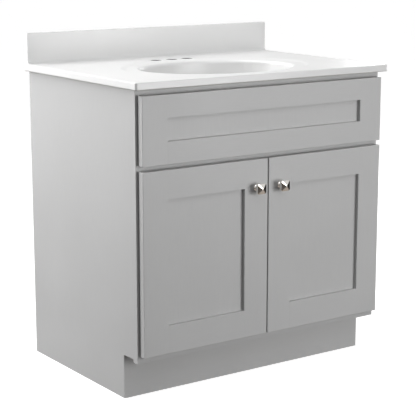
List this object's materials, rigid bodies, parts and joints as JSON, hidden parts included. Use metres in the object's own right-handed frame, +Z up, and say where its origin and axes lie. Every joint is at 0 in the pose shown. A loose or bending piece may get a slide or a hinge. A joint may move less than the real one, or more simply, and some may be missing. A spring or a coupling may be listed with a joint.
{
  "type": "bathroom vanity cabinet",
  "caption": "Free-standing bathroom vanity cabinet with two recessed-panel doors, a fixed false drawer front, and a one-piece cast top with an oval basin and backsplash.",
  "frame": {"origin": "middle of the footprint on the floor", "axes": "-Y is the front with the doors, +X is the right-hand side seen from the front, +Z is up"},
  "size_m": [0.7874, 0.5834, 0.8826],
  "materials": {
    "grey_side": "satin grey laminate on furniture board",
    "grey_frame": "satin grey paint on hardwood",
    "grey_front": "satin grey paint on fibreboard",
    "bare_board": "clear-coated birch-faced board",
    "dowel_wood": "fluted beech",
    "cast_top": "glossy white gel coat on cast stone",
    "polished_knob": "polished nickel",
    "nickel_plate": "nickel-plated pressed steel",
    "hinge_pin": "plain steel",
    "zinc_screw": "zinc-plated steel",
    "clear_rubber": "soft translucent plastic"
  },
  "bodies": {
    "cabinet": {"back_rail_bottom": "bare_board", "back_rail_dowels": "dowel_wood", "back_rail_top": "bare_board", "cabinet_floor": "bare_board", "corner_brace_back_left": "bare_board", "corner_brace_back_right": "bare_board", "corner_brace_front_left": "bare_board", "corner_brace_front_right": "bare_board", "face_frame_rail_bottom": "grey_frame", "face_frame_rail_middle": "grey_frame", "face_frame_rail_top": "grey_frame", "face_frame_stile_left": "grey_frame", "face_frame_stile_right": "grey_frame", "false_front_panel": "grey_front", "false_front_rail_bottom": "grey_front", "false_front_rail_top": "grey_front", "false_front_screws": "zinc_screw", "false_front_spacers": "clear_rubber", "false_front_stile_left": "grey_front", "false_front_stile_right": "grey_front", "left_hinge_arm_bottom": "nickel_plate", "left_hinge_arm_screws": "zinc_screw", "left_hinge_arm_top": "nickel_plate", "right_hinge_arm_bottom": "nickel_plate", "right_hinge_arm_screws": "zinc_screw", "right_hinge_arm_top": "nickel_plate", "side_panel_left": "grey_side", "side_panel_right": "grey_side", "toe_kick_board": "bare_board", "toe_kick_skin": "grey_side", "vanity_top": "cast_top"},
    "left_door": {"left_door_bumpers": "clear_rubber", "left_door_knob": "polished_knob", "left_door_knob_screw": "zinc_screw", "left_door_meeting_stile": "grey_front", "left_door_outer_stile": "grey_front", "left_door_panel": "grey_front", "left_door_rail_bottom": "grey_front", "left_door_rail_top": "grey_front", "left_hinge_cup_bottom": "nickel_plate", "left_hinge_cup_screws": "zinc_screw", "left_hinge_cup_top": "nickel_plate", "left_hinge_pins": "hinge_pin"},
    "right_door": {"right_door_bumpers": "clear_rubber", "right_door_knob": "polished_knob", "right_door_knob_screw": "zinc_screw", "right_door_meeting_stile": "grey_front", "right_door_outer_stile": "grey_front", "right_door_panel": "grey_front", "right_door_rail_bottom": "grey_front", "right_door_rail_top": "grey_front", "right_hinge_cup_bottom": "nickel_plate", "right_hinge_cup_screws": "zinc_screw", "right_hinge_cup_top": "nickel_plate", "right_hinge_pins": "hinge_pin"}
  },
  "joints": [
    {"name": "left_door_hinge", "type": "hinge", "parent": "cabinet", "child": "left_door", "pos_m": [-0.3675, -0.2537, 0.35515], "axis": [0, 0, -1], "range_deg": [0, 105]},
    {"name": "right_door_hinge", "type": "hinge", "parent": "cabinet", "child": "right_door", "pos_m": [0.3675, -0.2537, 0.35515], "axis": [0, 0, 1], "range_deg": [0, 105]}
  ]
}
